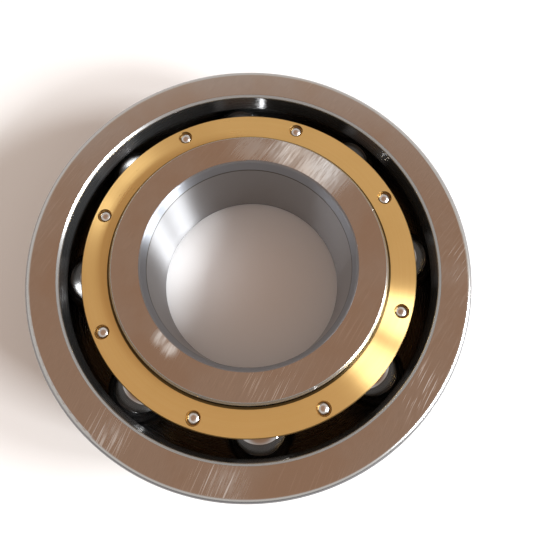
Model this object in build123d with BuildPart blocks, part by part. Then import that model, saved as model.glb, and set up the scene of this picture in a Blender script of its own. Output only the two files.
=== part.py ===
from build123d import *

import os
from math import asin, cos, radians, sin, sqrt

# Single-row angular contact ball bearing with a riveted two-piece brass cage.
#
# Millimetres, +Z along the bearing axis, origin at the centre of the bore and of the width.
# +Z is the open side: the outer ring's counterbore and the inner ring's high shoulder face it.
# The outer ring's high shoulder is on -Z, so the load line through a ball runs outwards and down
# to the outer groove, and inwards and up to the inner groove.

# Boundary dimensions
BORE = 80.0
OUTSIDE = 170.0
WIDTH = 39.0

# Rolling elements
BALL_COUNT = 8
BALL = 28.575
PITCH_DIAMETER = 125.0
CONTACT_ANGLE = 30.0

# Grooves
OUTER_GROOVE_RADIUS = 15.0
INNER_GROOVE_RADIUS = 14.9
RUNNING_GAP = 0.12
GROOVE_EDGE_ROUND = 0.4

# Outer ring shoulders
COUNTERBORE_RADIUS = 71.8
OUTER_HIGH_SHOULDER_RADIUS = 67.6
OUTER_SHOULDER_CHAMFER = 0.85
OUTER_SHOULDER_WALL_ROUND = 1.2

# Inner ring shoulders
INNER_HIGH_SHOULDER_RADIUS = 53.3
INNER_LOW_SHOULDER_RADIUS = 50.4
INNER_SHOULDER_CHAMFER_RADIAL = 1.1
INNER_SHOULDER_CHAMFER_AXIAL = 1.3

# Mounting corners. The outer ring's are round. The inner ring's are long tapers with eased
# edges, the smaller one on the side that takes no thrust.
OUTSIDE_CORNER_ROUND = 2.7
BORE_CORNER_RADIAL = 1.25
BORE_CORNER_AXIAL = 4.5
BORE_SMALL_CORNER_RADIAL = 1.4
BORE_SMALL_CORNER_AXIAL = 2.2
BORE_CORNER_FACE_ROUND = 1.0
BORE_CORNER_WALL_ROUND = 2.5

# Short chamfers have their edges eased by this much
CHAMFER_EDGE_ROUND = 0.3

# Cage
CAGE_INSIDE_RADIUS = 53.9
CAGE_OUTSIDE_RADIUS = 64.7
CAGE_WIDTH = 32.6
POCKET_DIAMETER = 29.1
CAGE_OUTSIDE_CHAMFER = 0.4
CAGE_INSIDE_CHAMFER = 0.8

# Rivets
RIVET_CIRCLE_RADIUS = 60.7
RIVET_HOLE_RADIUS = 2.05
RIVET_SHANK_RADIUS = 2.0
RIVET_RECESS_RADIUS = 2.8
RIVET_RECESS_DEPTH = 1.3
RIVET_HEAD_RADIUS = 2.35
RIVET_HEAD_RIM = 0.35
RIVET_HEAD_HEIGHT = 1.55

# Worked out from the sizes above
HALF_WIDTH = WIDTH / 2
CAGE_FACE = CAGE_WIDTH / 2
PITCH_RADIUS = PITCH_DIAMETER / 2
BALL_RADIUS = BALL / 2
BALL_STEP = 360.0 / BALL_COUNT
RECESS_FLOOR = CAGE_FACE - RIVET_RECESS_DEPTH


def groove_centre(groove_radius, side):
    """Centre (r, z) of a groove's arc; side is +1 for the outer ring and -1 for the inner."""
    shift = side * (groove_radius - BALL_RADIUS - RUNNING_GAP)
    contact = radians(CONTACT_ANGLE)
    return PITCH_RADIUS - shift * cos(contact), shift * sin(contact)


def groove_half_span(groove_radius, centre_radius, shoulder_radius):
    """Axial distance from the groove's centre to where its arc meets a shoulder."""
    return sqrt(groove_radius**2 - (shoulder_radius - centre_radius) ** 2)


def radial_plane(angle, radius=0.0):
    """Upright plane through the bearing axis: local x points outwards, local y points up."""
    outwards = Vector(cos(radians(angle)), sin(radians(angle)), 0)
    return Plane(origin=outwards * radius, x_dir=outwards, z_dir=outwards.cross(Vector(0, 0, 1)))


def vertices_at(sketch, *points):
    """The sketch's vertices that lie on the given points of its own plane."""
    targets = [Vector(x, y) for x, y in points]
    found = [v for v in sketch.vertices() if any((Vector(v) - t).length < 1e-4 for t in targets)]
    if len(found) != len(points):
        raise ValueError("a corner to be rounded is not in the sketch")
    return found


def build_outer_ring():
    radius = OUTSIDE / 2
    centre_r, centre_z = groove_centre(OUTER_GROOVE_RADIUS, 1)
    open_edge = centre_z + groove_half_span(OUTER_GROOVE_RADIUS, centre_r, COUNTERBORE_RADIUS)
    high_edge = centre_z - groove_half_span(
        OUTER_GROOVE_RADIUS, centre_r, OUTER_HIGH_SHOULDER_RADIUS
    )
    shoulder_end = HALF_WIDTH - OUTER_SHOULDER_CHAMFER
    outside_corners = [(radius, -HALF_WIDTH), (radius, HALF_WIDTH)]
    face_edges = [
        (OUTER_HIGH_SHOULDER_RADIUS + OUTER_SHOULDER_CHAMFER, -HALF_WIDTH),
        (COUNTERBORE_RADIUS + OUTER_SHOULDER_CHAMFER, HALF_WIDTH),
    ]
    shoulder_ends = [
        (OUTER_HIGH_SHOULDER_RADIUS, -shoulder_end),
        (COUNTERBORE_RADIUS, shoulder_end),
    ]
    groove_edges = [(COUNTERBORE_RADIUS, open_edge), (OUTER_HIGH_SHOULDER_RADIUS, high_edge)]
    with BuildPart() as ring:
        with BuildSketch(Plane.XZ) as section:
            with BuildLine():
                Polyline(
                    (OUTER_HIGH_SHOULDER_RADIUS, high_edge),
                    shoulder_ends[0],
                    face_edges[0],
                    *outside_corners,
                    face_edges[1],
                    shoulder_ends[1],
                    (COUNTERBORE_RADIUS, open_edge),
                )
                ThreePointArc(
                    (COUNTERBORE_RADIUS, open_edge),
                    (centre_r + OUTER_GROOVE_RADIUS, centre_z),
                    (OUTER_HIGH_SHOULDER_RADIUS, high_edge),
                )
            make_face()
            fillet(vertices_at(section, *outside_corners), radius=OUTSIDE_CORNER_ROUND)
            fillet(vertices_at(section, *face_edges), radius=CHAMFER_EDGE_ROUND)
            fillet(vertices_at(section, *shoulder_ends), radius=OUTER_SHOULDER_WALL_ROUND)
            fillet(vertices_at(section, *groove_edges), radius=GROOVE_EDGE_ROUND)
        revolve(axis=Axis.Z)
    return ring


def build_inner_ring():
    radius = BORE / 2
    centre_r, centre_z = groove_centre(INNER_GROOVE_RADIUS, -1)
    high_edge = centre_z + groove_half_span(
        INNER_GROOVE_RADIUS, centre_r, INNER_HIGH_SHOULDER_RADIUS
    )
    low_edge = centre_z - groove_half_span(
        INNER_GROOVE_RADIUS, centre_r, INNER_LOW_SHOULDER_RADIUS
    )
    shoulder_end = HALF_WIDTH - INNER_SHOULDER_CHAMFER_AXIAL
    shoulder_chamfers = [
        (INNER_HIGH_SHOULDER_RADIUS, shoulder_end),
        (INNER_HIGH_SHOULDER_RADIUS - INNER_SHOULDER_CHAMFER_RADIAL, HALF_WIDTH),
        (INNER_LOW_SHOULDER_RADIUS - INNER_SHOULDER_CHAMFER_RADIAL, -HALF_WIDTH),
        (INNER_LOW_SHOULDER_RADIUS, -shoulder_end),
    ]
    face_edges = [
        (radius + BORE_CORNER_RADIAL, HALF_WIDTH),
        (radius + BORE_SMALL_CORNER_RADIAL, -HALF_WIDTH),
    ]
    bore_edges = [
        (radius, HALF_WIDTH - BORE_CORNER_AXIAL),
        (radius, BORE_SMALL_CORNER_AXIAL - HALF_WIDTH),
    ]
    groove_edges = [(INNER_HIGH_SHOULDER_RADIUS, high_edge), (INNER_LOW_SHOULDER_RADIUS, low_edge)]
    with BuildPart() as ring:
        with BuildSketch(Plane.XZ) as section:
            with BuildLine():
                Polyline(
                    (INNER_HIGH_SHOULDER_RADIUS, high_edge),
                    *shoulder_chamfers[:2],
                    face_edges[0],
                    *bore_edges,
                    face_edges[1],
                    *shoulder_chamfers[2:],
                    (INNER_LOW_SHOULDER_RADIUS, low_edge),
                )
                ThreePointArc(
                    (INNER_LOW_SHOULDER_RADIUS, low_edge),
                    (centre_r - INNER_GROOVE_RADIUS, centre_z),
                    (INNER_HIGH_SHOULDER_RADIUS, high_edge),
                )
            make_face()
            fillet(vertices_at(section, *face_edges), radius=BORE_CORNER_FACE_ROUND)
            fillet(vertices_at(section, *bore_edges), radius=BORE_CORNER_WALL_ROUND)
            fillet(vertices_at(section, *shoulder_chamfers), radius=CHAMFER_EDGE_ROUND)
            fillet(vertices_at(section, *groove_edges), radius=GROOVE_EDGE_ROUND)
        revolve(axis=Axis.Z)
    return ring


def build_cage_front():
    """The half of the cage above the balls' plane, with half of each pocket."""
    with BuildPart() as half:
        with BuildSketch(Plane.XZ):
            with BuildLine():
                Polyline(
                    (CAGE_INSIDE_RADIUS, 0),
                    (CAGE_OUTSIDE_RADIUS, 0),
                    (CAGE_OUTSIDE_RADIUS, CAGE_FACE - CAGE_OUTSIDE_CHAMFER),
                    (CAGE_OUTSIDE_RADIUS - CAGE_OUTSIDE_CHAMFER, CAGE_FACE),
                    (CAGE_INSIDE_RADIUS + CAGE_INSIDE_CHAMFER, CAGE_FACE),
                    (CAGE_INSIDE_RADIUS, CAGE_FACE - CAGE_INSIDE_CHAMFER),
                    close=True,
                )
            make_face()
        revolve(axis=Axis.Z)
        with PolarLocations(PITCH_RADIUS, BALL_COUNT):
            Cylinder(
                radius=POCKET_DIAMETER / 2,
                height=BALL,
                rotation=(0, 90, 0),
                mode=Mode.SUBTRACT,
            )
        with Locations((0, 0, CAGE_FACE)):
            with PolarLocations(RIVET_CIRCLE_RADIUS, BALL_COUNT, start_angle=BALL_STEP / 2):
                CounterBoreHole(
                    radius=RIVET_HOLE_RADIUS,
                    counter_bore_radius=RIVET_RECESS_RADIUS,
                    counter_bore_depth=RIVET_RECESS_DEPTH,
                )
    return half


def build_cage_rear(front_half):
    with BuildPart() as half:
        mirror(front_half.part, about=Plane.XY)
    return half


def build_ball(angle):
    with BuildPart() as ball:
        with Locations(radial_plane(angle, PITCH_RADIUS)):
            Sphere(radius=BALL_RADIUS)
    return ball


def build_rivet(angle):
    """A through rivet with the same domed head at both ends, seated in the cage's recesses."""
    rim = RECESS_FLOOR + RIVET_HEAD_RIM
    crown = RECESS_FLOOR + RIVET_HEAD_HEIGHT
    rise = crown - rim
    dome_radius = (RIVET_HEAD_RADIUS**2 + rise**2) / (2 * rise)
    half_sweep = asin(RIVET_HEAD_RADIUS / dome_radius) / 2
    middle_r = dome_radius * sin(half_sweep)
    middle_z = crown - dome_radius * (1 - cos(half_sweep))
    with BuildPart() as rivet:
        with BuildSketch(radial_plane(angle, RIVET_CIRCLE_RADIUS)):
            with BuildLine():
                Line((0, -crown), (0, crown))
                ThreePointArc((0, crown), (middle_r, middle_z), (RIVET_HEAD_RADIUS, rim))
                Polyline(
                    (RIVET_HEAD_RADIUS, rim),
                    (RIVET_HEAD_RADIUS, RECESS_FLOOR),
                    (RIVET_SHANK_RADIUS, RECESS_FLOOR),
                    (RIVET_SHANK_RADIUS, -RECESS_FLOOR),
                    (RIVET_HEAD_RADIUS, -RECESS_FLOOR),
                    (RIVET_HEAD_RADIUS, -rim),
                )
                ThreePointArc((RIVET_HEAD_RADIUS, -rim), (middle_r, -middle_z), (0, -crown))
            make_face()
        revolve(axis=Axis(radial_plane(angle, RIVET_CIRCLE_RADIUS).origin, (0, 0, 1)))
    return rivet


def save(piece, name):
    piece.part.label = name
    export_step(piece.part, f"parts/{name}.step")


os.makedirs("parts", exist_ok=True)

outer_ring = build_outer_ring()
inner_ring = build_inner_ring()
cage_front = build_cage_front()
cage_rear = build_cage_rear(cage_front)
save(outer_ring, "outer_ring")
save(inner_ring, "inner_ring")
save(cage_front, "cage_front")
save(cage_rear, "cage_rear")
for number in range(BALL_COUNT):
    save(build_ball(number * BALL_STEP), f"ball_{number + 1}")
    save(build_rivet((number + 0.5) * BALL_STEP), f"rivet_{number + 1}")
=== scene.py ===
import math

import bpy
from mathutils import Matrix, Vector


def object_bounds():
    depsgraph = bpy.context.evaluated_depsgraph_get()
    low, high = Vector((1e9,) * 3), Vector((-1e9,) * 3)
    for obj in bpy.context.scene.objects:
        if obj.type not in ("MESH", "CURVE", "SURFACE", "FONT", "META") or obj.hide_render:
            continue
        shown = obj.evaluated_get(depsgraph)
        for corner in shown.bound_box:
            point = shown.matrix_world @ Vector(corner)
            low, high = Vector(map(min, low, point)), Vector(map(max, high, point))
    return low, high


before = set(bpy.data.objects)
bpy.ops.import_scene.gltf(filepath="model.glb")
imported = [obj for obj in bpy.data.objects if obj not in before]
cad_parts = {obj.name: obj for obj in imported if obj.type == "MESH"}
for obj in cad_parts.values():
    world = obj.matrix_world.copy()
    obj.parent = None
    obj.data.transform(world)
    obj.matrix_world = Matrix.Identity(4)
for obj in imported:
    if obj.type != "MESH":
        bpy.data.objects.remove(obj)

cad_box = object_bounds()

# ---------------------------------------------------------------- the view
# Angles are in degrees and lengths in metres, but the lens and the sensor are in millimetres.
VIEW_TURN = -4.0
VIEW_ELEVATION = 76.7
VIEW_DISTANCE = 0.1468
VIEW_LENS = 25.8
SENSOR_WIDTH = 36
VIEW_SHIFT = (0.0186, 0.0219)
AIM_RIGHT = 0.0061
AIM_BACK = -0.0107


def picture_direction(azimuth, elevation):
    """Unit vector; azimuth 0 is the picture's right, 90 its far side, elevation is above the floor."""
    turn = math.radians(azimuth + VIEW_TURN)
    lift = math.radians(elevation)
    return Vector(
        (math.cos(lift) * math.cos(turn), math.cos(lift) * math.sin(turn), math.sin(lift))
    )


def picture_point(right, back, up):
    turned = Matrix.Rotation(math.radians(VIEW_TURN), 3, "Z") @ Vector((right, back, 0))
    return turned + Vector((0, 0, up))


floor_height, top_height = cad_box[0][2], cad_box[1][2]


def make_camera():
    aim = picture_point(AIM_RIGHT, AIM_BACK, top_height)
    away = picture_direction(-90, VIEW_ELEVATION)
    right = picture_direction(0, 0)
    up = away.cross(right)
    camera = bpy.data.objects.new("camera", bpy.data.cameras.new("camera"))
    camera.data.lens = VIEW_LENS
    camera.data.sensor_width = SENSOR_WIDTH
    camera.data.shift_x, camera.data.shift_y = VIEW_SHIFT
    camera.data.clip_start = 0.01
    axes = Matrix((right, up, away)).transposed().to_4x4()
    camera.matrix_world = Matrix.Translation(aim + VIEW_DISTANCE * away) @ axes
    bpy.context.scene.collection.objects.link(camera)
    bpy.context.scene.camera = camera


make_camera()


# ---------------------------------------------------------------- node helpers
def add(tree, kind, inputs=None, **settings):
    """Adds a shader node. An input is a number, a colour, a vector or another node's output."""
    node = tree.nodes.new(kind)
    for name, value in settings.items():
        setattr(node, name, value)
    for key, value in (inputs or {}).items():
        if isinstance(value, bpy.types.NodeSocket):
            tree.links.new(value, node.inputs[key])
        else:
            node.inputs[key].default_value = value
    return node


def maths(tree, operation, a, b=0.0):
    return add(tree, "ShaderNodeMath", {0: a, 1: b}, operation=operation).outputs[0]


def ramp(tree, value, low, high, low_out=0.0, high_out=1.0):
    """Smooth step of value from low..high to low_out..high_out."""
    return add(
        tree,
        "ShaderNodeMapRange",
        {"Value": value, "From Min": low, "From Max": high, "To Min": low_out, "To Max": high_out},
        interpolation_type="SMOOTHSTEP",
    ).outputs["Result"]


def mix_value(tree, factor, a, b):
    return add(tree, "ShaderNodeMix", {0: factor, 2: a, 3: b}).outputs[0]


def mix_colour(tree, factor, a, b):
    node = add(tree, "ShaderNodeMix", data_type="RGBA")
    for index, value in ((0, factor), (6, a), (7, b)):
        if isinstance(value, bpy.types.NodeSocket):
            tree.links.new(value, node.inputs[index])
        else:
            node.inputs[index].default_value = value
    return node.outputs[2]


def noise(tree, vector, scale, detail=2.0, roughness=0.5):
    return add(
        tree,
        "ShaderNodeTexNoise",
        {"Vector": vector, "Scale": scale, "Detail": detail, "Roughness": roughness},
    ).outputs["Fac"]


def new_material(name):
    material = bpy.data.materials.new(name)
    material.use_nodes = True
    tree = material.node_tree
    return material, tree, tree.nodes["Principled BSDF"]


def polar(tree, vector):
    """Distance from the z axis, angle round it, and height."""
    x, y, z = add(tree, "ShaderNodeSeparateXYZ", {0: vector}).outputs
    squares = maths(tree, "ADD", maths(tree, "MULTIPLY", x, x), maths(tree, "MULTIPLY", y, y))
    return maths(tree, "SQRT", squares), maths(tree, "ARCTAN2", y, x), z


def stretched(tree, vector, centre, scales):
    """Polar coordinates round centre, each scaled, for marks that follow circles."""
    shifted = add(tree, "ShaderNodeVectorMath", {0: vector, 1: centre}, operation="SUBTRACT")
    scaled = [maths(tree, "MULTIPLY", v, k) for v, k in zip(polar(tree, shifted.outputs[0]), scales)]
    return add(tree, "ShaderNodeCombineXYZ", dict(enumerate(scaled))).outputs[0]


def flatness(tree):
    """1 on faces square to the bearing axis, 0 on round walls, in between on chamfers."""
    normal = add(tree, "ShaderNodeNewGeometry").outputs["Normal"]
    return maths(tree, "ABSOLUTE", add(tree, "ShaderNodeSeparateXYZ", {0: normal}).outputs[2])


def around_spot(tree, position, azimuth, radius, reach, strength=1.0):
    """The strength near a point of the upper face, fading to 0 at the given reach."""
    centre = picture_direction(azimuth, 0) * radius + Vector((0, 0, top_height))
    gap = add(tree, "ShaderNodeVectorMath", {0: position, 1: centre}, operation="DISTANCE")
    return ramp(tree, gap.outputs["Value"], reach, 0.1 * reach, 0.0, strength)


def strongest(tree, values):
    total = values[0]
    for value in values[1:]:
        total = maths(tree, "MAXIMUM", total, value)
    return total


def follow_circles(tree, shader):
    """Stretches highlights across marks that run round the axis."""
    tangent = add(tree, "ShaderNodeTangent", direction_type="RADIAL", axis="Z")
    tree.links.new(tangent.outputs[0], shader.inputs["Tangent"])
    shader.inputs["Anisotropic Rotation"].default_value = QUARTER_TURN


# ---------------------------------------------------------------- materials
QUARTER_TURN = 0.25
# Flatness from which a surface counts as a face square to the axis
FACE_FLATNESS = (0.96, 0.995)
FINE_RELIEF = 0.00002
RIVET_RELIEF = 0.00008
INNER_WALL_STRETCH = 0.75
# Marks per metre outwards, per radian round the centre and per metre of height
GRIND_CENTRE = picture_direction(-32, 0) * 0.5
GRIND_SCALES = (5200, 110, 0)
SCRATCH_SCALES = (2300, 26, 0)
FEATHER_SCALES = (1500, 60, 0)
TURNING_SCALES = (1500, 1.0, 1500)
WALL_SCALES = (600, 2.2, 5200)
# Worn and dulled places of the upper faces, as (azimuth, radius, reach, strength)
SCRATCHED = [
    (0, 0.079, 0.014, 0.7),
    (-38, 0.078, 0.020, 1.0),
    (-98, 0.078, 0.017, 1.0),
    (-128, 0.078, 0.020, 1.0),
    (-80, 0.047, 0.022, 1.0),
    (75, 0.048, 0.012, 1.0),
]
FROSTED = [
    (54, 0.0475, 0.020, 1.0),
    (70, 0.0480, 0.014, 0.9),
    (88, 0.0480, 0.014, 0.4),
    (-137, 0.0432, 0.0055, 1.0),
    (-130, 0.0434, 0.0055, 1.0),
    (-95, 0.0780, 0.014, 0.35),
    (-127, 0.0785, 0.013, 0.30),
    (-4, 0.0785, 0.010, 0.12),
]


def ring_steel():
    """Ground faces with long shallow arcs, darker honed bore walls, and tapers between the two in tone; the
    other upright walls, the outer side and the bore's edge rounding carry painted shade.
    """
    material, tree, shader = new_material("ground_ring_steel")
    position = add(tree, "ShaderNodeTexCoord").outputs["Object"]
    radius = polar(tree, position)[0]
    flat = flatness(tree)
    face = ramp(tree, flat, *FACE_FLATNESS)
    inside = ramp(tree, radius, 0.0435, 0.0425)
    bore = maths(tree, "MULTIPLY", maths(tree, "SUBTRACT", 1.0, face), inside)
    taper = ramp(tree, flat, 0.20, 0.26)
    # painted shade: a mask for the rounding between the bore wall and its taper
    painted_crease_shade = maths(tree, "MULTIPLY", ramp(tree, flat, 0.02, 0.07), ramp(tree, flat, 0.25, 0.18))
    outside = ramp(tree, radius, 0.0805, 0.0815)
    grind = noise(tree, stretched(tree, position, GRIND_CENTRE, GRIND_SCALES), 1.0, 3.0, 0.6)
    scratch = noise(tree, stretched(tree, position, GRIND_CENTRE, SCRATCH_SCALES), 1.0, 2.0, 0.5)
    feather = noise(tree, stretched(tree, position, GRIND_CENTRE, FEATHER_SCALES), 1.0, 3.0, 0.6)
    worn = strongest(tree, [around_spot(tree, position, *spot) for spot in SCRATCHED])
    frost = strongest(tree, [around_spot(tree, position, *spot) for spot in FROSTED])
    patchy = ramp(tree, noise(tree, position, 24.0, 2.0, 0.5), 0.50, 0.62)
    worn = maths(tree, "MAXIMUM", worn, maths(tree, "MULTIPLY", patchy, 0.25))
    scratch = maths(tree, "MULTIPLY", ramp(tree, scratch, 0.55, 0.66), worn)
    scratch = maths(tree, "MULTIPLY", scratch, face)
    frost = maths(tree, "MULTIPLY", frost, ramp(tree, feather, 0.30, 0.66, 0.50, 1.0))
    frost = maths(tree, "MULTIPLY", frost, face)
    blotch = noise(tree, position, 38.0, 3.0, 0.55)
    honing = noise(tree, stretched(tree, position, (0, 0, 0), WALL_SCALES), 1.0, 2.0, 0.5)
    bare = mix_colour(tree, ramp(tree, grind, 0.35, 0.65), (0.53, 0.505, 0.485, 1), (0.57, 0.545, 0.525, 1))
    bare = mix_colour(tree, ramp(tree, blotch, 0.42, 0.68), bare, (0.53, 0.47, 0.42, 1))
    bare = mix_colour(tree, scratch, bare, (0.70, 0.68, 0.66, 1))
    honed = mix_colour(tree, taper, (0.33, 0.325, 0.33, 1), (0.31, 0.32, 0.345, 1))
    # painted shade: the bore tone is darkened to near black on that rounding
    honed = mix_colour(tree, painted_crease_shade, honed, (0.12, 0.11, 0.10, 1))
    # painted shade: upright walls such as the counterbore and the shoulders get a near-black base, the
    # chamfers a plain steel tone
    walls_with_painted_shade = mix_colour(tree, ramp(tree, flat, 0.1, 0.45), (0.17, 0.17, 0.17, 1), (0.44, 0.44, 0.44, 1))
    walls_with_painted_shade = mix_colour(tree, inside, walls_with_painted_shade, honed)
    # painted shade: the outer side wall gets a near-black base, the rounded outer corner a plain steel tone
    outside_with_painted_shade = mix_colour(tree, ramp(tree, flat, 0.80, 0.92), (0.15, 0.15, 0.155, 1), (0.56, 0.55, 0.54, 1))
    walls_with_painted_shade = mix_colour(tree, outside, walls_with_painted_shade, outside_with_painted_shade)
    tree.links.new(mix_colour(tree, face, walls_with_painted_shade, bare), shader.inputs["Base Color"])
    rough_face = maths(
        tree,
        "ADD",
        ramp(tree, grind, 0.35, 0.65, 0.08, 0.13),
        ramp(tree, blotch, 0.35, 0.7, -0.02, 0.03),
    )
    rough_face = maths(tree, "ADD", rough_face, maths(tree, "MULTIPLY", scratch, 0.22))
    rough_face = maths(tree, "ADD", rough_face, maths(tree, "MULTIPLY", frost, 0.72))
    rough_bore = ramp(tree, honing, 0.3, 0.7, 0.38, 0.42)
    rough_wall = ramp(tree, honing, 0.3, 0.7, 0.25, 0.29)
    rough_outside = ramp(tree, honing, 0.3, 0.7, 0.17, 0.21)
    rough = mix_value(tree, bore, rough_wall, rough_bore)
    rough = mix_value(tree, outside, rough, rough_outside)
    rough = mix_value(tree, face, rough, rough_face)
    tree.links.new(rough, shader.inputs["Roughness"])
    lines = mix_value(tree, face, honing, grind)
    lines = maths(tree, "SUBTRACT", lines, scratch)
    bump = add(tree, "ShaderNodeBump", {"Strength": 0.05, "Distance": FINE_RELIEF, "Height": lines})
    tree.links.new(bump.outputs[0], shader.inputs["Normal"])
    follow_circles(tree, shader)
    inner = maths(tree, "MULTIPLY", maths(tree, "SUBTRACT", 1.0, face), maths(tree, "SUBTRACT", 1.0, outside))
    stretch = mix_value(tree, bore, maths(tree, "MULTIPLY", inner, INNER_WALL_STRETCH), 1.0)
    tree.links.new(stretch, shader.inputs["Anisotropic"])
    shader.inputs["Metallic"].default_value = 0.97
    return material


def cage_brass():
    """Fine-turned brass on the cage's faces, and a darker one on its walls as painted shade."""
    material, tree, shader = new_material("turned_cage_brass")
    position = add(tree, "ShaderNodeTexCoord").outputs["Object"]
    lines = noise(tree, stretched(tree, position, (0, 0, 0), TURNING_SCALES), 1.0, 2.0, 0.5)
    blotch = noise(tree, position, 45.0, 2.0, 0.5)
    colour = mix_colour(tree, ramp(tree, lines, 0.3, 0.7), (0.840, 0.580, 0.225, 1), (0.855, 0.600, 0.240, 1))
    colour = mix_colour(tree, ramp(tree, blotch, 0.4, 0.75, 0.0, 0.35), colour, (0.80, 0.53, 0.19, 1))
    face = ramp(tree, flatness(tree), *FACE_FLATNESS)
    # painted shade: the cage's walls get a dark brown base instead of the brass tone
    colour = mix_colour(tree, face, (0.30, 0.19, 0.07, 1), colour)
    tree.links.new(colour, shader.inputs["Base Color"])
    rough = maths(
        tree,
        "ADD",
        ramp(tree, lines, 0.3, 0.7, 0.29, 0.31),
        ramp(tree, blotch, 0.3, 0.7, -0.02, 0.03),
    )
    tree.links.new(rough, shader.inputs["Roughness"])
    bump = add(tree, "ShaderNodeBump", {"Strength": 0.004, "Distance": FINE_RELIEF, "Height": lines})
    tree.links.new(bump.outputs[0], shader.inputs["Normal"])
    follow_circles(tree, shader)
    shader.inputs["Anisotropic"].default_value = 1.0
    shader.inputs["Metallic"].default_value = 0.86
    return material


def ball_steel():
    material, tree, shader = new_material("lapped_ball_steel")
    position = add(tree, "ShaderNodeTexCoord").outputs["Object"]
    smudge = noise(tree, position, 160.0, 3.0, 0.6)
    tree.links.new(ramp(tree, smudge, 0.35, 0.75, 0.02, 0.07), shader.inputs["Roughness"])
    colour = mix_colour(tree, ramp(tree, smudge, 0.3, 0.8), (0.50, 0.49, 0.49, 1), (0.42, 0.41, 0.40, 1))
    tree.links.new(colour, shader.inputs["Base Color"])
    shader.inputs["Metallic"].default_value = 1.0
    return material


def rivet_steel():
    material, tree, shader = new_material("upset_rivet_steel")
    position = add(tree, "ShaderNodeTexCoord").outputs["Object"]
    dents = noise(tree, position, 900.0, 2.0, 0.5)
    tree.links.new(ramp(tree, dents, 0.3, 0.75, 0.16, 0.32), shader.inputs["Roughness"])
    colour = mix_colour(tree, ramp(tree, dents, 0.3, 0.8), (0.74, 0.71, 0.69, 1), (0.60, 0.56, 0.54, 1))
    tree.links.new(colour, shader.inputs["Base Color"])
    bump = add(tree, "ShaderNodeBump", {"Strength": 0.25, "Distance": RIVET_RELIEF, "Height": dents})
    tree.links.new(bump.outputs[0], shader.inputs["Normal"])
    shader.inputs["Metallic"].default_value = 1.0
    return material


def dress(node, material):
    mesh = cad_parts[node].data
    for index in range(len(mesh.materials)):
        mesh.materials[index] = material


steel, brass, ball, rivet = ring_steel(), cage_brass(), ball_steel(), rivet_steel()
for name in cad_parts:
    family = name.split("_")[0]
    dress(name, {"cage": brass, "ball": ball, "rivet": rivet}.get(family, steel))


# ---------------------------------------------------------------- floor
FLOOR_HALF_SIDE = 3.0


def make_floor():
    side = FLOOR_HALF_SIDE
    mesh = bpy.data.meshes.new("table_top")
    corners = [(-side, -side), (side, -side), (side, side), (-side, side)]
    mesh.from_pydata([(x, y, floor_height) for x, y in corners], [], [(0, 1, 2, 3)])
    table = bpy.data.objects.new("table_top", mesh)
    bpy.context.scene.collection.objects.link(table)
    material, tree, shader = new_material("pale_table")
    position = add(tree, "ShaderNodeTexCoord").outputs["Object"]
    mottle = noise(tree, position, 6.0, 2.0, 0.5)
    colour = mix_colour(tree, ramp(tree, mottle, 0.3, 0.7), (0.84, 0.82, 0.81, 1), (0.88, 0.87, 0.86, 1))
    tree.links.new(colour, shader.inputs["Base Color"])
    shader.inputs["Roughness"].default_value = 0.55
    mesh.materials.append(material)


make_floor()


# ---------------------------------------------------------------- light
# Two equal soft boxes behind the bearing, as (azimuth of the middle, width in degrees)
SOFT_BOXES = [(-28, 15), (-5, 15)]
SOFT_BOX_DISTANCE = 1.2
SOFT_BOX_LOW = 22
SOFT_BOX_HIGH = 32
SOFT_BOX_RADIANCE = 90
ROOM_LOW = (0.76, 0.73, 0.70)
ROOM_OVERHEAD = (0.42, 0.255, 0.165)
BACKDROP = (0.93, 0.93, 0.93)


def soft_box(number, azimuth, width):
    """A flat lamp that faces the bearing and fills the given width and the boxes' height."""
    light = bpy.data.lights.new(f"soft_box_{number}", "AREA")
    light.shape = "RECTANGLE"
    light.size = 2 * SOFT_BOX_DISTANCE * math.tan(math.radians(width / 2))
    light.size_y = 2 * SOFT_BOX_DISTANCE * math.tan(math.radians((SOFT_BOX_HIGH - SOFT_BOX_LOW) / 2))
    light.energy = math.pi * light.size * light.size_y * SOFT_BOX_RADIANCE
    light.color = (0.93, 0.97, 1.0)
    box = bpy.data.objects.new(light.name, light)
    outwards = picture_direction(azimuth, (SOFT_BOX_LOW + SOFT_BOX_HIGH) / 2)
    turn = outwards.to_track_quat("Z", "Y").to_matrix().to_4x4()
    box.matrix_world = Matrix.Translation(outwards * SOFT_BOX_DISTANCE) @ turn
    bpy.context.scene.collection.objects.link(box)


for number, (azimuth, width) in enumerate(SOFT_BOXES, 1):
    soft_box(number, azimuth, width)


def make_world():
    """A plain room, the same all round: pale at the sides and warm overhead."""
    world = bpy.data.worlds.new("studio")
    bpy.context.scene.world = world
    world.use_nodes = True
    tree = world.node_tree
    background = tree.nodes["Background"]
    direction = add(tree, "ShaderNodeTexCoord").outputs["Generated"]
    up = add(tree, "ShaderNodeSeparateXYZ", {0: direction}).outputs[2]
    room = mix_colour(tree, ramp(tree, up, 0.60, 0.84), (*ROOM_LOW, 1), (*ROOM_OVERHEAD, 1))
    seen = add(tree, "ShaderNodeLightPath").outputs["Is Camera Ray"]
    tree.links.new(mix_colour(tree, seen, room, (*BACKDROP, 1)), background.inputs["Color"])
    background.inputs["Strength"].default_value = 1.0


make_world()
bpy.context.scene.view_settings.view_transform = "Standard"
bpy.context.scene.view_settings.exposure = 0.0
